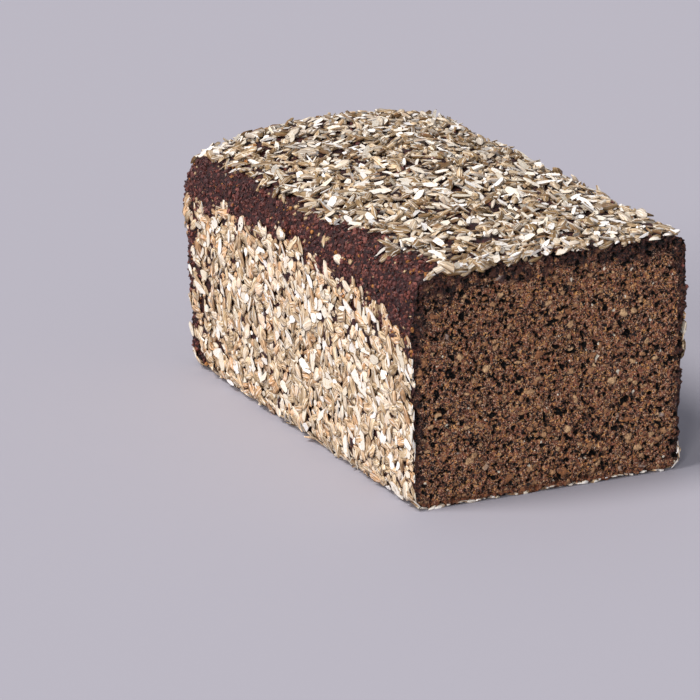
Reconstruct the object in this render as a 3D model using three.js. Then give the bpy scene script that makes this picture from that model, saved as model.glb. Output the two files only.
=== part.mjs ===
// A tin loaf of dense wholegrain rye bread that has been cut across at one end.
//
// Millimetres, +Z up. The origin is on the surface that the loaf rests on, under the middle of its length and
// width. The length runs along Y: the cut face is at -Y and the baked far end is at +Y. X runs across.
//
// The loaf was baked as one piece, so it is one solid. Its skin is the outside of the coat of cracked grain that
// is baked onto the crust. The tin shaped the base, the side walls and the far end; the top rose free of it.

import * as THREE from 'three';

// The loaf as a whole.
const LENGTH = 197; // from the cut face to the far end
const WIDTH = 112; // across the rim of the tin, where the loaf is widest
const HEIGHT = 94; // from the base to the highest point of the crown

// What the tin shaped.
const WALL_LEAN = 2; // each side wall leans in this much between the top and the base
const END_LEAN = 6; // and the far wall this much
const BASE_RADIUS = 6; // the rounded edge along the foot of the walls
const CORNER_RADIUS = 10; // the upright corners at the far end

// What rose free of the tin, at the cut face and towards the far end. The crown lies `dip` below the full
// height. A shoulder is the rounded step from a side wall to the top: it reaches in over the top, drops down the
// wall, and its inner edge lies `dip` below the crown.
const CUT_TOP = {
  dip: 4.5,
  left: { reach: 13, drop: 11, dip: 1.5 },
  right: { reach: 6, drop: 8, dip: 1 },
};
const FAR_TOP = {
  dip: 0,
  left: { reach: 9, drop: 16, dip: 7.5 },
  right: { reach: 12, drop: 14, dip: 4 },
};
const END_SHOULDER = { reach: 24, drop: 14 }; // over the far wall
const TOP_RUN = 0.75; // share of the length over which the top changes from its cut shape to its far one

// How finely the skin is faceted.
const STRETCH_STEPS = 10; // stations along the straight part of the loaf
const END_STEPS = 14; // stations round the far end
const ARC_STEPS = 6; // facets over the top of a section, and half the facets in each of its rounded edges

// 0 at the cut face, 1 at the far end.
function shareOfLength(y) {
  return y / LENGTH + 0.5;
}

// How far a quarter-ellipse edge at the far end has come in at y. It starts `reach` before the end and has come
// in by `drop` at the end.
function endInset(y, reach, drop) {
  const along = THREE.MathUtils.clamp((y - (LENGTH / 2 - reach)) / reach, 0, 1);
  return drop * (1 - Math.sqrt(1 - along * along));
}

// A size of the top at y, between its values at the cut face and at the far end.
function between(y, atCut, atFar) {
  return THREE.MathUtils.lerp(atCut, atFar, THREE.MathUtils.smoothstep(shareOfLength(y), 0, TOP_RUN));
}

// A side shoulder at y, in its place on the section: `inner` is where it meets the top.
function shoulderAt(y, side, half, crown) {
  const reach = between(y, CUT_TOP[side].reach, FAR_TOP[side].reach);
  const drop = between(y, CUT_TOP[side].drop, FAR_TOP[side].drop);
  const dip = between(y, CUT_TOP[side].dip, FAR_TOP[side].dip);
  return { reach, drop, dip, inner: half - reach, top: crown - dip };
}

// The outline of the loaf at y, as points in X and Z that run anticlockwise seen from the cut face. Every
// section has the same number of points, so that neighbours join point to point.
function sectionAt(y) {
  const half = WIDTH / 2 - endInset(y, CORNER_RADIUS, CORNER_RADIUS);
  const foot = endInset(y, BASE_RADIUS, BASE_RADIUS);
  const flat = half - WALL_LEAN - BASE_RADIUS; // half the width of the level base
  const crown = HEIGHT - between(y, CUT_TOP.dip, FAR_TOP.dip) - endInset(y, END_SHOULDER.reach, END_SHOULDER.drop);
  const left = shoulderAt(y, 'left', half, crown);
  const right = shoulderAt(y, 'right', half, crown);

  const outline = new THREE.Shape();
  outline.moveTo(-flat, foot);
  outline.lineTo(flat, foot);
  outline.absellipse(flat, foot + BASE_RADIUS, BASE_RADIUS, BASE_RADIUS, -Math.PI / 2, 0);
  outline.absellipse(right.inner, right.top - right.drop, right.reach, right.drop, 0, Math.PI / 2);
  // This height of the control point makes the curve peak at the crown.
  outline.quadraticCurveTo(0, crown + Math.sqrt(left.dip * right.dip), -left.inner, left.top);
  outline.absellipse(-left.inner, left.top - left.drop, left.reach, left.drop, Math.PI / 2, Math.PI);
  outline.absellipse(-flat, foot + BASE_RADIUS, BASE_RADIUS, BASE_RADIUS, Math.PI, Math.PI * 1.5);

  const points = outline.getPoints(ARC_STEPS);
  points.pop(); // the last point is the first again
  return points;
}

// The far wall leans, so the sections are sheared: the base of each is set back by its share of the length.
function leanBack(y, z) {
  const wallTop = HEIGHT - END_SHOULDER.drop;
  return y - END_LEAN * Math.max(0, 1 - z / wallTop) * shareOfLength(y);
}

// Where the sections stand: evenly along the straight part, then closer and closer round the far end.
function stations() {
  const round = Math.max(END_SHOULDER.reach, CORNER_RADIUS, BASE_RADIUS);
  const straight = LENGTH - round;
  const list = [];
  for (let i = 0; i < STRETCH_STEPS; i++) list.push(-LENGTH / 2 + (straight * i) / STRETCH_STEPS);
  for (let i = 0; i <= END_STEPS; i++) {
    list.push(LENGTH / 2 - round * (1 - Math.sin((Math.PI / 2) * (i / END_STEPS))));
  }
  return list;
}

// One closed skin through all the sections, with a flat cap over the first and the last.
function loaf() {
  const rings = stations().map((y) => sectionAt(y).map((p) => new THREE.Vector3(p.x, leanBack(y, p.y), p.y)));
  const around = rings[0].length;
  const index = [];
  for (let r = 0; r + 1 < rings.length; r++) {
    for (let i = 0; i < around; i++) {
      const here = r * around + i;
      const next = r * around + ((i + 1) % around);
      index.push(here, next + around, next, here, here + around, next + around);
    }
  }
  const caps = THREE.ShapeUtils.triangulateShape(sectionAt(-LENGTH / 2), []);
  const far = (rings.length - 1) * around;
  for (const [a, b, c] of caps) {
    index.push(a, b, c);
    index.push(far + a, far + c, far + b);
  }
  return new THREE.BufferGeometry().setFromPoints(rings.flat()).setIndex(index);
}

const bread = new THREE.MeshStandardMaterial({ color: 0x3a2618, roughness: 0.9, metalness: 0 });

const tinLoaf = new THREE.Group();
const loafMesh = new THREE.Mesh(loaf(), bread);
loafMesh.name = 'loaf';
tinLoaf.add(loafMesh);

export default tinLoaf;
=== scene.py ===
# A tin loaf of dense wholegrain rye bread, cut straight across at one end, with cracked rye on its crust.
# Metres, +Z up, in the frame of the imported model: the cut face looks along -Y and the left side along -X.

import math
import random

import bmesh
import bpy
from mathutils import Matrix, Vector, noise
from mathutils.bvhtree import BVHTree


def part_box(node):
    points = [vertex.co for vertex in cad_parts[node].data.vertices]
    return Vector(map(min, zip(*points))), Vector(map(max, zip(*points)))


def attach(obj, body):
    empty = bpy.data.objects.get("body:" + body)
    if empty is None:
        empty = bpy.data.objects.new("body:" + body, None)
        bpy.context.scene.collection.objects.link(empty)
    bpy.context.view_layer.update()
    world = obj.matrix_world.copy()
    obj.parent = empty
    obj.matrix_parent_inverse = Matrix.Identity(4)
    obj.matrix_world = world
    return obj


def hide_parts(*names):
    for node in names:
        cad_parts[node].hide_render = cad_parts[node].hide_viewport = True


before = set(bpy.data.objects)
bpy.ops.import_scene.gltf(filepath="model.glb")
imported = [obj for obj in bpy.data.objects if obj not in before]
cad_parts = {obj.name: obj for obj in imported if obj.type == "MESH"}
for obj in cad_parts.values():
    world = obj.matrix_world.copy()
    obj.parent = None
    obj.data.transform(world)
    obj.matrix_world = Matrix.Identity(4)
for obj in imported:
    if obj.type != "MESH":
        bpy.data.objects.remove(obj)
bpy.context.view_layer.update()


# The bread
# One piece of rye dough, baked in a tin and cut across with a knife. The cut face shows the crumb, with its
# pores and whole kernels. Everywhere else is crust, a little under the outside of the coat of grain.

MM = 0.001
low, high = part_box("loaf")

COAT = 1.1 * MM  # from the crust to the outside of the coat
CRUST_CELL = 2.2 * MM  # mesh size of the crust under the coat
CRUMB_CELL = 0.42 * MM  # mesh size of the cut face
TRIM = 10 * MM  # the cut end is made this much too long, then cut off

# The crust may be bare above this height, within these distances of a side or the far end. It is meshed more
# finely there.
BARE_FROM = 58 * MM
BARE_SIDE = 12 * MM
BARE_END = 14 * MM

# Pitch, share of the cells that are filled, least and greatest radius. The lengths are in millimetres.
PORES = [
    (1.7, 0.75, 0.3, 0.85),
    (3.6, 0.55, 0.5, 1.35),
    (11.0, 0.4, 1.0, 2.2),
]
KERNELS = [
    (3.9, 0.66, 0.8, 1.6),
    (8.0, 0.5, 1.1, 1.9),
]
PORE_WARP = 0.55  # how far their outlines are bent, in pitches
KERNEL_WARP = 0.2
KERNEL_SLANTS = (-0.4, 0.7)  # the way that each size of kernel is drawn out
KERNEL_SHIFT = Vector((50, 9, 30))  # keeps the cells of the kernels apart from those of the pores

# Millimetres on the cut face.
PORE_DEPTH = 1.6
KERNEL_HEIGHT = 0.2
RELIEF_DEPTH = 3  # how far in from the crust its relief has faded away
RIM_WIDTH = 4  # how far in from the crust the crumb is darkened
TOP_RIM = 8  # how much further along the top edge
CORNER_RIM = 8  # and how much further again at the left end of that edge

noise.seed_set(3)  # vector noise otherwise takes its seed from the clock


def random_of(point):
    """A number from 0 to 1 that belongs to a cell's point."""
    return 0.5 + 0.5 * noise.cell(point * 7.31)


def smooth(edge, width, value):
    """1 well below the edge, 0 well above it, and smooth between."""
    t = min(max((edge + width - value) / (2 * width), 0), 1)
    return t * t * (3 - 2 * t)


def above(edge, width, value):
    """The other way round: 0 well below the edge, 1 well above it."""
    return smooth(-edge, width, -value)


def blob(place, pitch, share, least, greatest, warp):
    """How deep a place lies in the blob of its cell, from 0 to 1, and a number of the blob's own."""
    bent = place / pitch + warp * noise.noise_vector(place * (1.1 / math.sqrt(pitch)))
    distances, points = noise.voronoi(bent)
    own = random_of(points[0])
    if own > share:
        return 0.0, own
    radius = least + (greatest - least) * (own / share) ** 2
    softness = 0.22 + 0.15 * radius
    return smooth(radius, softness, distances[0] * pitch), random_of(points[0] + Vector((5, 3, 1)))


def crust_relief(place):
    """How far the crust stands out at a place, in millimetres: dents, lumps and crumbly grains."""
    grains, _ = noise.voronoi(place / 1.9 + 0.3 * noise.noise_vector(place / 1.2))
    return (
        0.9 * noise.noise(place / 23)
        + 0.9 * noise.noise(place / 6.5)
        + 0.8 * noise.noise(place / 2.9)
        + 0.5 * (0.45 - grains[0])
        + 0.3 * noise.noise(place / 1.1)
    )


def made_into_cells(mesh, size):
    """The mesh as an even skin of square cells."""
    whole = bpy.data.objects.new("whole", mesh)
    bpy.context.scene.collection.objects.link(whole)
    remesh = whole.modifiers.new("cells", "REMESH")
    remesh.mode = "VOXEL"
    remesh.voxel_size = size
    even = bpy.data.meshes.new_from_object(whole.evaluated_get(bpy.context.evaluated_depsgraph_get()))
    bpy.data.objects.remove(whole)
    return even


def cut_off(bm, parts, point, outward, **settings):
    """Cuts off what lies beyond a plane, and gives back the edges of the cut."""
    cut = bmesh.ops.bisect_plane(
        bm, geom=parts, plane_co=point, plane_no=outward, clear_outer=True, **settings
    )
    return [part for part in cut["geom_cut"] if isinstance(part, bmesh.types.BMEdge)]


def cut_into_strips(bm, parts, axis, start, stop, width):
    """Cuts flat faces into strips across one axis, and gives back all their parts."""
    across = Vector((0, 0, 0))
    across[axis] = 1
    done, rest, place = [], parts, start + width
    while place < stop:
        parts = bmesh.ops.bisect_plane(bm, geom=rest, plane_co=across * place, plane_no=across)["geom"]
        rest = []
        for part in parts:
            beyond = all(v.co[axis] > place - 1e-7 for v in getattr(part, "verts", [part]))
            (rest if beyond else done).append(part)
        place += width
    return done + rest


bm = bmesh.new()
bm.from_mesh(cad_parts["loaf"].data)
bmesh.ops.remove_doubles(bm, verts=bm.verts, dist=1e-6)
bm.normal_update()
for v in bm.verts:
    at_cut = v.co.y < low.y + 1e-5
    outward = Vector((v.normal.x, 0 if at_cut else v.normal.y, v.normal.z)).normalized()
    v.co -= outward * COAT
    if at_cut:
        v.co.y -= TRIM
rough = bpy.data.meshes.new("rough")
bm.to_mesh(rough)
bm.free()

bm = bmesh.new()
bm.from_mesh(made_into_cells(rough, CRUST_CELL))
crust_skin = BVHTree.FromBMesh(bm)
everything = bm.verts[:] + bm.edges[:] + bm.faces[:]
rim = cut_off(bm, everything, (0, low.y, 0), (0, -1, 0), dist=1e-5)
cut_face = bmesh.ops.edgeloop_fill(bm, edges=rim)["faces"][0]
cut_face.material_index = 1
parts = [cut_face, *cut_face.edges, *cut_face.verts]
parts = cut_into_strips(bm, parts, 2, low.z, high.z, CRUMB_CELL)
cut_into_strips(bm, parts, 0, low.x, high.x, CRUMB_CELL)
bmesh.ops.recalc_face_normals(bm, faces=bm.faces)


def may_be_bare(edge):
    """Whether an edge of the crust lies where the coat may leave it bare."""
    middle = (edge.verts[0].co + edge.verts[1].co) / 2
    beside = abs(middle.x) > high.x - BARE_SIDE or middle.y > high.y - BARE_END
    return beside and middle.z > BARE_FROM and all(f.material_index == 0 for f in edge.link_faces)


bmesh.ops.subdivide_edges(bm, edges=[e for e in bm.edges if may_be_bare(e)], cuts=1, use_grid_fill=True)

# The marks are pore, kernel, the kernel's own number, and the share of the dark rim that is passed.
crumb_marks = bm.verts.layers.float_color.new("crumb")
for v in bm.verts:
    place = v.co / MM
    _, outward, _, depth = crust_skin.find_nearest(v.co)
    depth /= MM
    pore = kernel = own = 0
    relief = crust_relief(place) * MM
    if abs(v.co.y - low.y) < 1e-6:
        for sizes in PORES:
            deep, _ = blob(place, *sizes, PORE_WARP)
            pore = max(pore, deep * (0.7 + 0.3 * sizes[3]))  # the widest are the deepest
        for slant, sizes in zip(KERNEL_SLANTS, KERNELS):
            leaning = Vector((place.x * 0.8 + slant * place.z, place.y, place.z - slant * place.x * 0.6))
            deep, number = blob(leaning + KERNEL_SHIFT, *sizes, KERNEL_WARP)
            if deep > kernel:
                kernel, own = deep, number
        pore *= 1 - kernel
        waves = 0.3 * noise.noise(place / 9) + 0.45 * noise.noise(place / 1.9)
        waves += 0.4 * noise.noise(place / 0.9)
        v.co.y += MM * (PORE_DEPTH * pore - KERNEL_HEIGHT * kernel + waves * (1 - 0.6 * kernel))
        relief += MM * (1.3 * noise.noise(place / 3.7) + 0.9 * noise.noise(place / 1.3))
    near_corner = smooth(-35, 12, place.x) * above(66, 12, place.z)
    rim_width = RIM_WIDTH + TOP_RIM * above(76, 9, place.z) + CORNER_RIM * near_corner
    v[crumb_marks] = (pore, kernel, own, depth / rim_width)
    # Near the cut the relief moves the crust only within the plane of the cut.
    outward = Vector((outward.x, outward.y if depth > 1 or place.y > -90 else 0, outward.z))
    v.co += outward * relief * max(1 - depth / RELIEF_DEPTH, 0)
    v.co.z = max(v.co.z, low.z)

for face in bm.faces:
    face.smooth = True
bread_skin = BVHTree.FromBMesh(bm)
bread_mesh = bpy.data.meshes.new("bread")
bm.to_mesh(bread_mesh)
bm.free()
bread = bpy.data.objects.new("bread", bread_mesh)
bpy.context.scene.collection.objects.link(bread)


def colour(code):
    """A colour from its six-digit code, as the shaders take it."""
    parts = [int(code[i : i + 2], 16) / 255 for i in (0, 2, 4)]
    return (*(c / 12.92 if c <= 0.04045 else ((c + 0.055) / 1.055) ** 2.4 for c in parts), 1)


def new_material(name, roughness):
    """A material with its node tree, its shader and the shader's roughness set."""
    material = bpy.data.materials.new(name)
    material.use_nodes = True
    shader = material.node_tree.nodes["Principled BSDF"]
    shader.inputs["Roughness"].default_value = roughness
    shader.inputs["Specular IOR Level"].default_value = 0.3
    return material, material.node_tree, shader


def node(tree, kind, values=None, **settings):
    """A new shader node. A value is a number, a colour or another node's output."""
    made = tree.nodes.new(kind)
    for name, setting in settings.items():
        setattr(made, name, setting)
    for socket, value in (values or {}).items():
        if isinstance(value, bpy.types.NodeSocket):
            tree.links.new(value, made.inputs[socket])
        else:
            made.inputs[socket].default_value = value
    return made


def mixed(tree, share, first, second, blend="MIX"):
    """Two colours mixed: share 0 gives the first, 1 the second."""
    # 6 and 7 are the node's sockets for colours, and 2 is the one that gives a colour out.
    colours = {0: share, 6: first, 7: second}
    return node(tree, "ShaderNodeMix", colours, data_type="RGBA", blend_type=blend).outputs[2]


def banded(tree, value, low_end, high_end, to_low=0.0, to_high=1.0):
    """A value stretched so that low_end to high_end becomes to_low to to_high, and held there."""
    ends = {1: low_end, 2: high_end, 3: to_low, 4: to_high}
    return node(tree, "ShaderNodeMapRange", {0: value, **ends}, interpolation_type="SMOOTHSTEP").outputs[0]


def grained(tree, place, size, **values):
    """Noise with lumps of about this size, in millimetres."""
    found = {"Vector": place, "Scale": 1 / (size * MM), "Detail": 3.0, "Roughness": 0.6, **values}
    return node(tree, "ShaderNodeTexNoise", found).outputs["Fac"]


def bumped(tree, shader, height, distance):
    """Gives the shader the relief of a height, which is this many millimetres deep."""
    bump = node(tree, "ShaderNodeBump", {"Strength": 1.0, "Distance": distance * MM, "Height": height})
    tree.links.new(bump.outputs["Normal"], shader.inputs["Normal"])


# Crumb: moist dark brown meal, flecked with golden bran, with tan kernels. Its pores and small holes are
# painted near black as painted shade, and pale glints on the meal are painted highlights.
crumb, tree, shader = new_material("rye_crumb", 0.42)
place = node(tree, "ShaderNodeTexCoord").outputs["Object"]
marks = node(tree, "ShaderNodeAttribute", attribute_name="crumb")
split = node(tree, "ShaderNodeSeparateColor", {"Color": marks.outputs["Color"]})
pore, kernel, own = (split.outputs[name] for name in ("Red", "Green", "Blue"))
meal = mixed(tree, banded(tree, grained(tree, place, 1.5), 0.38, 0.6), colour("2a1512"), colour("8a523d"))
meal = mixed(tree, banded(tree, grained(tree, place, 0.6), 0.53, 0.6, 0, 0.75), meal, colour("a96a45"))
flakes_seen = banded(tree, grained(tree, place, 1.2, Distortion=1.6), 0.59, 0.62)
meal = mixed(tree, flakes_seen, meal, colour("cb8c4c"))
wave = grained(tree, place, 2.4, Distortion=1.2, Detail=1.0)
thread = node(tree, "ShaderNodeMath", {0: wave, 1: 0.5, 2: 0.035}, operation="COMPARE").outputs[0]
some = banded(tree, grained(tree, place, 1.9), 0.5, 0.56, 0, 0.9)
thread = node(tree, "ShaderNodeMath", {0: thread, 1: some}, operation="MULTIPLY").outputs[0]
meal = mixed(tree, thread, meal, colour("e2a766"))
# Painted highlights: small pale glints over the meal, where the moist crumb catches the light.
painted_glints = banded(tree, grained(tree, place, 0.5, Detail=1.0), 0.58, 0.64, 0, 0.8)
meal = mixed(tree, painted_glints, meal, colour("e2c0a2"))
# Painted shade: small holes drawn only in colour, near black like the shade inside them.
painted_hole_shade = banded(tree, grained(tree, place, 1.15, Distortion=0.9), 0.462, 0.425)
meal = mixed(tree, painted_hole_shade, meal, colour("140907"))
kernel_skin = mixed(tree, own, colour("ad7248"), colour("fad09c"))
kernel_skin = mixed(tree, banded(tree, own, 0.93, 0.95), kernel_skin, colour("b39d92"))
mottling = banded(tree, grained(tree, place, 0.8), 0.4, 0.62, 0, 0.5)
kernel_skin = mixed(tree, mottling, kernel_skin, colour("70462f"))
meal = mixed(tree, banded(tree, kernel, 0.0, 0.25, 0, 0.4), meal, colour("2a1813"))
uneven = banded(tree, grained(tree, place, 1.1), 0.36, 0.64, -0.35, 0.25)
kernel_seen = node(tree, "ShaderNodeMath", {0: kernel, 1: uneven}, operation="ADD").outputs[0]
meal = mixed(tree, banded(tree, kernel_seen, 0.3, 0.85, 0, 0.85), meal, kernel_skin)
# Painted shade: the pores are painted near black, as the shade inside them.
meal = mixed(tree, banded(tree, pore, 0.15, 0.45), meal, colour("080403"))
white_specks = banded(tree, grained(tree, place, 2.2, Detail=0.0), 0.815, 0.83)
meal = mixed(tree, white_specks, meal, colour("e9dfca"))
height = node(tree, "ShaderNodeSeparateXYZ", {"Vector": place}).outputs["Z"]
foot = banded(tree, height, 1.5 * MM, 3.5 * MM, 0.7, 0)
foot_spots = banded(tree, grained(tree, place, 1.3), 0.4, 0.6)
foot_meal = mixed(tree, foot_spots, colour("341813"), colour("8d5336"))
meal = mixed(tree, foot, meal, foot_meal)
above_foot = banded(tree, height, 2 * MM, 6 * MM)
ragged = banded(tree, grained(tree, place, 4.0), 0.3, 0.7, -0.45, 0.45)
rim = node(tree, "ShaderNodeMath", {0: marks.outputs["Alpha"], 1: ragged}, operation="ADD").outputs[0]
rim_dark = banded(tree, rim, 0.3, 1.0, 1, 0)
rim_dark = node(tree, "ShaderNodeMath", {0: rim_dark, 1: above_foot}, operation="MULTIPLY").outputs[0]
meal = mixed(tree, rim_dark, meal, colour("756065"), "MULTIPLY")
tree.links.new(meal, shader.inputs["Base Color"])
bumped(tree, shader, grained(tree, place, 0.7), 1.0)

# Crust: baked almost black, mahogany where it is thin, with a few scorched orange grains in it.
crust, tree, shader = new_material("dark_crust", 0.55)
place = node(tree, "ShaderNodeTexCoord").outputs["Object"]
grit = node(tree, "ShaderNodeTexVoronoi", {"Vector": place, "Scale": 1 / (1.3 * MM), "Randomness": 1.0})
shade = node(tree, "ShaderNodeSeparateColor", {"Color": grit.outputs["Color"]}).outputs["Red"]
skin = mixed(tree, shade, colour("140505"), colour("431b1b"))
skin = mixed(tree, banded(tree, grained(tree, place, 9), 0.4, 0.62, 0, 0.5), skin, colour("2e1718"))
orange_grains = banded(tree, grained(tree, place, 1.4, Distortion=1.0), 0.64, 0.69)
skin = mixed(tree, orange_grains, skin, colour("8a5226"))
skin = mixed(tree, banded(tree, grained(tree, place, 1.1), 0.45, 0.38), skin, colour("0a0505"))
tree.links.new(skin, shader.inputs["Base Color"])
bumped(tree, shader, grained(tree, place, 1.1, Detail=4.0), 0.8)

bread_mesh.materials.append(crust)
bread_mesh.materials.append(crumb)
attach(bread, "root")
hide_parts("loaf")


# The coat of grain
# Cracked rye: kernels broken by a mill into halves, slivers, ends and flakes, pressed onto the dough and
# baked on. The husk is brown to straw and finely ridged, and the broken faces are chalky white. The coat of
# each side of the loaf is one piece.

rng = random.Random(7)


def kernel_shape(length, width, thickness, cuts, curl=0.0, around=7):
    """A piece of a kernel that lies along X, from sizes in millimetres. Each cut is a plane, as a point and
    an outward direction in shares of the size. What is beyond it is broken off and leaves a white face."""
    bm = bmesh.new()
    bmesh.ops.create_uvsphere(bm, u_segments=around, v_segments=5, radius=0.5)
    bmesh.ops.rotate(bm, verts=bm.verts, matrix=Matrix.Rotation(math.pi / 2, 3, "Y"))
    for v in bm.verts:
        blunt = 1 - 0.3 * (v.co.x + 0.5) ** 2
        crease = 0.14 if v.co.z > 0.2 and abs(v.co.y) < 0.2 else 0
        jitter = Vector([rng.uniform(-0.08, 0.08) for _ in range(3)])
        v.co = Vector((v.co.x, v.co.y * blunt, (v.co.z - crease) * blunt)) + jitter
    for point, outward in cuts:
        parts = bm.verts[:] + bm.edges[:] + bm.faces[:]
        tilted = Vector(outward) + Vector([rng.uniform(-0.15, 0.15) for _ in range(3)])
        rim = cut_off(bm, parts, point, tilted)
        for face in bmesh.ops.edgeloop_fill(bm, edges=rim)["faces"]:
            face.material_index = 1
    husk_map = bm.loops.layers.uv.new("husk")
    for face in bm.faces:
        for loop in face.loops:
            loop[husk_map].uv = (loop.vert.co.x, loop.vert.co.y)
    for v in bm.verts:
        v.co = Vector((v.co.x * length, v.co.y * width, v.co.z * thickness + curl * v.co.x**2)) * MM
    bmesh.ops.recalc_face_normals(bm, faces=bm.faces)
    for face in bm.faces:
        face.smooth = face.material_index == 0
    for edge in bm.edges:
        edge.smooth = all(face.material_index == 0 for face in edge.link_faces)
    shape = bpy.data.meshes.new("kernel")
    bm.to_mesh(shape)
    bm.free()
    return shape


# Planes to break a kernel along.
UNDER = ((0, 0, -0.05), (0, 0, -1))
BESIDE = ((0, 0.05, 0), (0, 1, 0))
END = ((0.15, 0, 0), (1, 0, 0))
OTHER_END = ((-0.2, 0, 0), (-1, 0, 0))
halves = [kernel_shape(6.9, 2.8, 2.4, [UNDER]) for _ in range(3)]
slivers = [kernel_shape(6.6, 2.9, 2.2, [UNDER, BESIDE]) for _ in range(3)]
ends = [kernel_shape(7.0, 2.8, 2.3, [UNDER, END]) for _ in range(3)]
middles = [kernel_shape(7.4, 2.9, 2.2, [UNDER, END, OTHER_END]) for _ in range(2)]
flakes = [kernel_shape(6.2, 3.4, 0.8, [], curl=rng.uniform(-1.5, 1.5)) for _ in range(3)]
crumbs = [kernel_shape(3.6, 2.4, 2.0, [UNDER, END], around=5) for _ in range(3)]
KINDS = halves * 3 + slivers * 3 + ends * 2 + middles * 2 + flakes * 2 + crumbs * 3
FLATTER = halves * 2 + slivers * 2 + ends * 2 + flakes * 4 + crumbs * 3

skin_bm = bmesh.new()
skin_bm.from_mesh(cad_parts["loaf"].data)
coat_skin = BVHTree.FromBMesh(skin_bm)
skin_bm.free()


def spots(axis, sign, pitch, skin=coat_skin):
    """Places on the side of a skin that faces along an axis, spread evenly but not in rows, and normals."""
    others = [i for i in range(3) if i != axis]
    found = []
    counts = [round((high[i] - low[i]) / pitch) for i in others]
    for a in range(counts[0]):
        for b in range(counts[1]):
            start = Vector((0, 0, 0))
            start[others[0]] = low[others[0]] + (a + rng.uniform(0, 1)) * pitch
            start[others[1]] = low[others[1]] + (b + rng.uniform(0, 1)) * pitch
            start[axis] = (high if sign > 0 else low)[axis] + sign * 0.01  # outside the loaf
            towards = Vector((0, 0, 0))
            towards[axis] = -sign
            place, normal, _, _ = skin.ray_cast(start, towards)
            if place:
                found.append((place, normal))
    return found


def scattered(kinds, places, tones, lift, tilt=0.1, flip=0.0, press=1.0, broad=1.0, turns=math.pi):
    """A mesh of shapes laid at places on the skin. tones is the range of their colours, and lift how far out
    from the skin they lie, in millimetres. tilt is how much they lean, flip the share that is turned over,
    press and broad how thick and how wide they become, and turns how far they turn either way."""
    bm = bmesh.new()
    numbers = []
    for place, normal in places:
        kind = rng.choice(kinds)
        size = rng.triangular(0.55, 1.45, 1.0)
        lie = normal.to_track_quat("Z", "Y").to_matrix().to_4x4()
        turn = Matrix.Rotation(rng.uniform(-turns, turns), 4, "Z")
        lean = Matrix.Rotation(rng.triangular(-2.4, 2.4) * tilt, 4, "Y")
        lean = lean @ Matrix.Rotation(rng.triangular(-3.8, 3.8) * tilt, 4, "X")
        height = rng.uniform(*lift)
        if rng.random() < flip:
            lean = lean @ Matrix.Rotation(math.pi, 4, "X")
            height += 0.7
        width = size * broad * rng.uniform(0.75, 1.15)
        stretch = Matrix.Diagonal((size * rng.uniform(0.85, 1.15), width, size * press, 1))
        up = Matrix.Translation(place + normal * (height * MM))
        laid = up @ lie @ turn @ lean @ stretch
        kind.transform(laid)
        bm.from_mesh(kind)
        kind.transform(laid.inverted())
        numbers += [(rng.uniform(*tones), rng.random(), rng.random(), 1)] * len(kind.vertices)
    own = bm.verts.layers.float_color.new("own")
    for v, number in zip(bm.verts, numbers):
        v[own] = number
        v.co.z = min(max(v.co.z, low.z), high.z + 2 * MM)
    return bm


FLUSH = 0.4 * MM  # how far the kernels stand out from the cut face


def cut_flush(bm):
    """Cuts the kernels off where the knife went through them, which leaves white faces."""
    reached = [face for face in bm.faces if any(v.co.y < low.y + 1 * MM for v in face.verts)]
    parts = dict.fromkeys(part for face in reached for part in (face, *face.edges, *face.verts))
    rim = cut_off(bm, list(parts), (0, low.y - FLUSH, 0), (0, -1, 0))
    for face in bmesh.ops.holes_fill(bm, edges=rim)["faces"]:
        face.material_index = 1


def finished(name, bm, slot, *materials):
    """Makes a mesh into a piece that is part of the loaf."""
    mesh = bpy.data.meshes.new(name)
    bm.to_mesh(mesh)
    bm.free()
    for material in materials:
        mesh.materials.append(material)
    piece = bpy.data.objects.new(name, mesh)
    bpy.context.scene.collection.objects.link(piece)
    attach(piece, "root")


# Husk: ridged lengthways, from brown through straw to tan, each kernel with a tone of its own. Painted
# highlights lie on the crests of the ridges, and its brown sides are deepened with painted shade.
husk, tree, shader = new_material("rye_husk", 0.68)
own = node(tree, "ShaderNodeAttribute", attribute_name="own").outputs["Color"]
split = node(tree, "ShaderNodeSeparateColor", {"Color": own})
tone, light = (split.outputs[name] for name in ("Red", "Green"))
ramp = node(tree, "ShaderNodeValToRGB", {"Fac": tone})
stops = [(0, "6a5034"), (0.25, "937851"), (0.5, "b59973"), (0.75, "dcc3a0"), (1, "d2a274")]
while len(ramp.color_ramp.elements) < len(stops):
    ramp.color_ramp.elements.new(0.5)
for element, (position, code) in zip(ramp.color_ramp.elements, stops):
    element.position = position
    element.color = colour(code)
lengthways = node(tree, "ShaderNodeUVMap", uv_map="husk").outputs["UV"]
apart = node(tree, "ShaderNodeVectorMath", {0: lengthways, 1: own}, operation="ADD").outputs[0]
ridges = node(tree, "ShaderNodeMapping", {"Vector": apart, "Scale": (1.8, 7.5, 9.0)}).outputs["Vector"]
streaks = node(tree, "ShaderNodeTexNoise", {"Vector": ridges, "Scale": 1.0, "Detail": 2.0}).outputs["Fac"]
skin = mixed(tree, banded(tree, streaks, 0.34, 0.5, 0.8, 0), ramp.outputs["Color"], colour("553a1e"))
# Painted highlights: the crests of the ridges are painted near white.
skin = mixed(tree, banded(tree, streaks, 0.56, 0.63, 0, 0.75), skin, colour("f1ebe2"))
across = node(tree, "ShaderNodeSeparateXYZ", {"Vector": lengthways}).outputs["Y"]
across = node(tree, "ShaderNodeMath", {0: across}, operation="ABSOLUTE").outputs[0]
# Darker towards the sides of each kernel: the husk's own brown edges, deepened with painted shade where the
# sides turn away.
skin = mixed(tree, banded(tree, across, 0.24, 0.44, 0, 0.68), skin, colour("6d4526"))
skin = mixed(tree, banded(tree, light, 0, 0.5, 0.45, 0), skin, colour("5a4530"))
skin = mixed(tree, banded(tree, light, 0.7, 1.0, 0, 0.5), skin, colour("efe6d8"))
tree.links.new(skin, shader.inputs["Base Color"])
bumped(tree, shader, streaks, 0.5)

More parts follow.
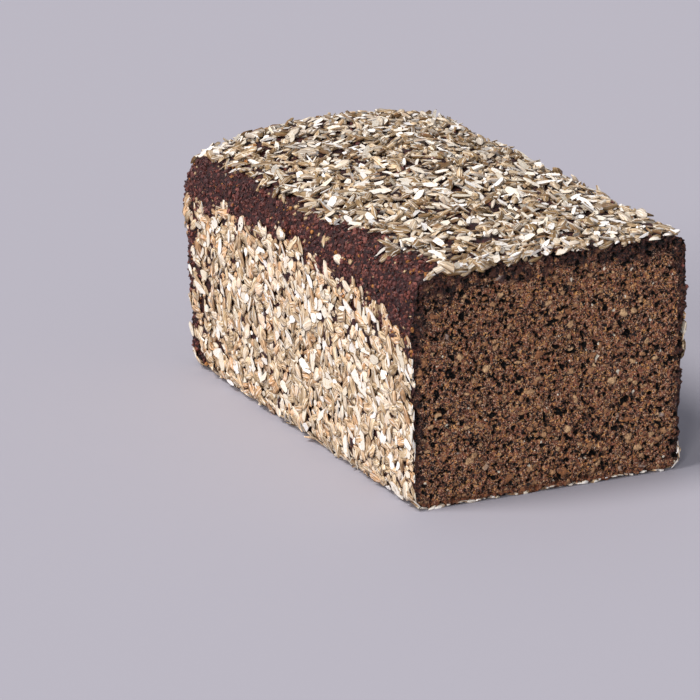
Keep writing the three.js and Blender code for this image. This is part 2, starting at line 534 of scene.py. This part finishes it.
# Starch: the broken faces, chalky white to cream.
starch, tree, shader = new_material("rye_starch", 0.85)
place = node(tree, "ShaderNodeTexCoord").outputs["Object"]
own = node(tree, "ShaderNodeAttribute", attribute_name="own").outputs["Color"]
light = node(tree, "ShaderNodeSeparateColor", {"Color": own}).outputs["Green"]
face = mixed(tree, light, colour("d3c8b5"), colour("efecea"))
face = mixed(tree, banded(tree, grained(tree, place, 1.0), 0.5, 0.68, 0, 0.6), face, colour("bfa67e"))
tree.links.new(face, shader.inputs["Base Color"])
bumped(tree, shader, grained(tree, place, 0.6), 0.2)


SLOW_WAVE = 17 * MM  # the two lengths of wave in the borders of the coats
QUICK_WAVE = 4 * MM
LEFT = 4  # the seeds of the borders on the two side walls
RIGHT = 5

LEFT_MARGIN = 5.5 * MM  # bare width of the left shoulder
CUT_MARGIN = 7.5 * MM  # how much wider it is near the cut
TONGUE_REACH = 9 * MM  # a tongue of grain crosses it here
TONGUE_AT = -67 * MM
TONGUE_WIDTH = 5 * MM
RIGHT_MARGIN = 3 * MM
TOP_FROM = 80 * MM  # the coat on the top comes down to this height

WALL_COAT = 75  # millimetres that the coat of a side wall reaches up
WALL_COAT_DROP = 13  # how much lower it is at the ends of the loaf
FAR_COAT = 64 * MM  # how high the coat of the far wall reaches
FAR_CORNERS = 7 * MM  # how much it leaves bare at each corner


def wander(value, seed, reach):
    """How far an uneven border strays, in metres, from its reach in millimetres: a slow and a quick wave."""
    slow = noise.noise(Vector((value / SLOW_WAVE, seed, 0)))
    return reach * MM * (slow + 0.7 * noise.noise(Vector((value / QUICK_WAVE, seed, 5))))


def top_border(y):
    """Where the coat on the top ends over the left shoulder."""
    tongue = TONGUE_REACH * math.exp(-(((y - TONGUE_AT) / TONGUE_WIDTH) ** 2))
    return low.x + LEFT_MARGIN + CUT_MARGIN * smooth(-0.035, 0.02, y) - tongue + wander(y, seed=1, reach=3)


def wall_border(y, seed):
    """How high the coat on a side wall reaches: highest in the middle of the length."""
    along = (y - 5 * MM) / (98 * MM)
    return (WALL_COAT - WALL_COAT_DROP * along * along) * MM + wander(y, seed, reach=3.5)


def on_top(place):
    """Whether a place is under the coat on the top, which has small gaps."""
    right = high.x - RIGHT_MARGIN + wander(place.y, seed=2, reach=2)
    covered = noise.noise(place / (4 * MM)) > -0.2
    above_end = place.z > TOP_FROM + wander(place.x, seed=3, reach=2)
    return covered and top_border(place.y) < place.x < right and above_end


def on_wall(place, seed):
    """Whether a place is under the coat on a side wall. The coat thins out into clumps at its border, where
    a few kernels stray past it, and has gaps towards the far end."""
    below = wall_border(place.y, seed) - place.z
    stray = rng.random() < 0.03 and below > -10 * MM
    clump = noise.noise(place / (5 * MM)) > -0.7 + 0.62 * smooth(10, 9, below / MM)
    dense = noise.noise(place / (6 * MM)) + (high.y - place.y) / (44 * MM)
    dense += 0.4 * above(54, 8, place.z / MM)
    return (below > 0 or stray) and clump and dense > 0.45 + 0.1 * rng.random()


def on_far_wall(place, normal):
    """Whether a place is under the coat on the far wall, which leaves the corners bare."""
    clear_of_corner = abs(place.x) < high.x - FAR_CORNERS + wander(place.z, seed=7, reach=4)
    below_border = place.z < FAR_COAT + wander(place.x, seed=6, reach=4)
    return below_border and abs(normal.z) < 0.6 and clear_of_corner


def rubbed_off(place):
    """Where the knife has rubbed the grain off, on the right wall beside the cut."""
    left_on = 44 * MM < place.z < 62 * MM or place.z < 9 * MM
    return place.y < low.y + 6 * MM and not left_on


def bare(place, seed):
    """Whether grit may lie at a place on a side wall: near the coat's border, above it or at the far end."""
    return place.z > wall_border(place.y, seed) - 6 * MM or place.y > high.y - 22 * MM


WALL_PITCH = 2.4 * MM
TAN = (0.52, 1.0)
WALL = {"tones": TAN, "lift": (-1.3, -0.4), "tilt": 0.08, "flip": 0.2, "press": 0.65, "broad": 1.35}
HANGING = 70  # kernels that hang over the top edge of the cut

top_spots = [spot for spot in spots(2, 1, pitch=2.3 * MM) if on_top(spot[0])]
top = scattered(KINDS, top_spots, tones=(0.0, 0.8), lift=(-1.4, 0.2), tilt=0.28, flip=0.3)
cut_flush(top)
hanging = []
for _ in range(HANGING):
    across = rng.triangular(-0.9, 0.93, -0.6) * high.x
    crown, normal, _, _ = coat_skin.ray_cast(Vector((across, low.y + 1 * MM, 0.2)), Vector((0, 0, -1)))
    place = Vector((across, low.y - 0.1 * MM, crown.z - rng.triangular(0.2, 2.4, 0.3) * MM))
    hanging.append((place, Vector((normal.x, -1, rng.uniform(0.2, 1.2))).normalized()))
over_edge = scattered(
    KINDS, hanging, tones=(0.2, 0.9), lift=(-0.7, -0.1), tilt=0.25, flip=0.5, press=0.8, turns=0.9
)
over_edge_mesh = bpy.data.meshes.new("over_edge")
over_edge.to_mesh(over_edge_mesh)
top.from_mesh(over_edge_mesh)
finished("top_grain", top, "grain", husk, starch)

left_spots = [spot for spot in spots(0, -1, WALL_PITCH) if on_wall(spot[0], LEFT)]
left = scattered(FLATTER, left_spots, **WALL)
cut_flush(left)
finished("left_grain", left, "grain", husk, starch)

right_spots = [spot for spot in spots(0, 1, WALL_PITCH) if on_wall(spot[0], RIGHT)]
right_spots = [spot for spot in right_spots if not rubbed_off(spot[0])]
right = scattered(FLATTER, right_spots, **WALL)
cut_flush(right)
finished("right_grain", right, "grain", husk, starch)

far_spots = [spot for spot in spots(1, 1, WALL_PITCH) if on_far_wall(*spot)]
far = scattered(FLATTER, far_spots, **WALL)
finished("far_grain", far, "grain", husk, starch)

base_spots = [spot for spot in spots(2, -1, pitch=2.6 * MM) if spot[1].z < -0.9]
base = scattered(KINDS, base_spots, TAN, lift=(-1.3, -0.9), tilt=0.03, flip=0.4)
cut_flush(base)
finished("base_grain", base, "grain", husk, starch)


# Grit on the bare crust
# Crumbs of dough and bran that stuck to the crust along the shoulders and were scorched there.


def grit_shape():
    """A lumpy crumb with flat faces."""
    bm = bmesh.new()
    bmesh.ops.create_icosphere(bm, subdivisions=1, radius=0.55 * MM)
    size = rng.triangular(0.5, 2.2, 0.7)
    for v in bm.verts:
        v.co *= size * rng.uniform(0.5, 1.3)
    shape = bpy.data.meshes.new("grit")
    bm.to_mesh(shape)
    bm.free()
    return shape


GRIT = [grit_shape() for _ in range(10)]

scorched, tree, shader = new_material("scorched_grit", 0.38)
own = node(tree, "ShaderNodeAttribute", attribute_name="own").outputs["Color"]
split = node(tree, "ShaderNodeSeparateColor", {"Color": own})
place = node(tree, "ShaderNodeTexCoord").outputs["Object"]
skin = mixed(tree, split.outputs["Red"], colour("120607"), colour("8a4d42"))
skin = mixed(tree, banded(tree, grained(tree, place, 12), 0.45, 0.6, 0, 0.5), skin, colour("3f2227"))
skin = mixed(tree, banded(tree, split.outputs["Green"], 0.955, 0.97), skin, colour("ab7038"))
skin = mixed(tree, banded(tree, split.outputs["Blue"], 0.97, 0.975), skin, colour("c9ab82"))
skin = mixed(tree, banded(tree, grained(tree, place, 0.6), 0.4, 0.6, 0.5, 0), skin, colour("120909"))
tree.links.new(skin, shader.inputs["Base Color"])
bumped(tree, shader, grained(tree, place, 0.5), 0.3)

places = [spot for spot in spots(0, -1, 1.35 * MM, bread_skin) if bare(spot[0], LEFT)]
places += [spot for spot in spots(0, 1, 1.6 * MM, bread_skin) if bare(spot[0], RIGHT)]
places += [spot for spot in spots(1, 1, 1.6 * MM, bread_skin) if spot[0].z > 55 * MM]
places += [spot for spot in spots(2, 1, 1.5 * MM, bread_skin) if spot[0].x < top_border(spot[0].y) + 2 * MM]
places = [spot for spot in places if noise.noise(spot[0] / (2.5 * MM)) > -0.3]  # it lies in clusters
grit = scattered(GRIT, places, tones=(0, 1), lift=(-0.3, 0.3), tilt=0.5, press=0.8)
finished("crust_grit", grit, "bread", scorched)


# The studio
# A plain pale table top under a wide soft light from high on the left. Two lower reflectors light the left
# wall and the cut face, and the table only a little.

floor_mesh = bpy.data.meshes.new("table_top")
bm = bmesh.new()
bmesh.ops.create_grid(bm, x_segments=1, y_segments=1, size=4)
bm.to_mesh(floor_mesh)
bm.free()
table_top = bpy.data.objects.new("table_top", floor_mesh)
bpy.context.scene.collection.objects.link(table_top)
stone, tree, shader = new_material("pale_table", 0.75)
shader.inputs["Base Color"].default_value = colour("a3a0a9")
floor_mesh.materials.append(stone)


def from_direction(azimuth, elevation):
    """The direction from the loaf to what stands at these angles in degrees. Azimuth 0 faces the cut."""
    azimuth, elevation = math.radians(azimuth), math.radians(elevation)
    level = math.cos(elevation)
    return Vector((math.sin(azimuth) * level, -math.cos(azimuth) * level, math.sin(elevation)))


def soft_light(name, direction, spread, strength, tint):
    """A broad lamp, so far off that it lights the loaf and the table alike."""
    lamp = bpy.data.lights.new(name, "SUN")
    lamp.angle = math.radians(spread)
    lamp.energy = strength
    lamp.color = colour(tint)[:3]
    holder = bpy.data.objects.new(name, lamp)
    holder.rotation_euler = direction.to_track_quat("Z", "Y").to_euler()
    bpy.context.scene.collection.objects.link(holder)


soft_light("window", from_direction(-98, 58), spread=22, strength=2.9, tint="fffcfa")
soft_light("left_reflector", from_direction(-76, 13), spread=16, strength=1.2, tint="fffcfa")
soft_light("front_reflector", from_direction(-40, 24), spread=10, strength=1.1, tint="fffcfa")

world = bpy.data.worlds.new("room")
world.use_nodes = True
world.node_tree.nodes["Background"].inputs["Color"].default_value = colour("dfe3ee")
world.node_tree.nodes["Background"].inputs["Strength"].default_value = 0.48
bpy.context.scene.world = world
bpy.context.scene.view_settings.view_transform = "Standard"


# The camera
# Low and to the left of the cut face, far off with a long lens, and turned a touch about its own axis.

AIM = Vector((-0.0299, -0.0011, 0.0281))
DISTANCE = 1.693
ROLL = 0.4  # degrees
LENS = 236.6  # millimetres, on a sensor 36 wide

view = bpy.data.cameras.new("camera")
view.lens = LENS
view.sensor_width = 36
camera = bpy.data.objects.new("camera", view)
back = from_direction(-26.7, 17.77)
upright = back.to_track_quat("Z", "Y").to_matrix().to_4x4()
turned = upright @ Matrix.Rotation(math.radians(ROLL), 4, "Z")
camera.matrix_world = Matrix.Translation(AIM + back * DISTANCE) @ turned
bpy.context.scene.collection.objects.link(camera)
bpy.context.scene.camera = camera
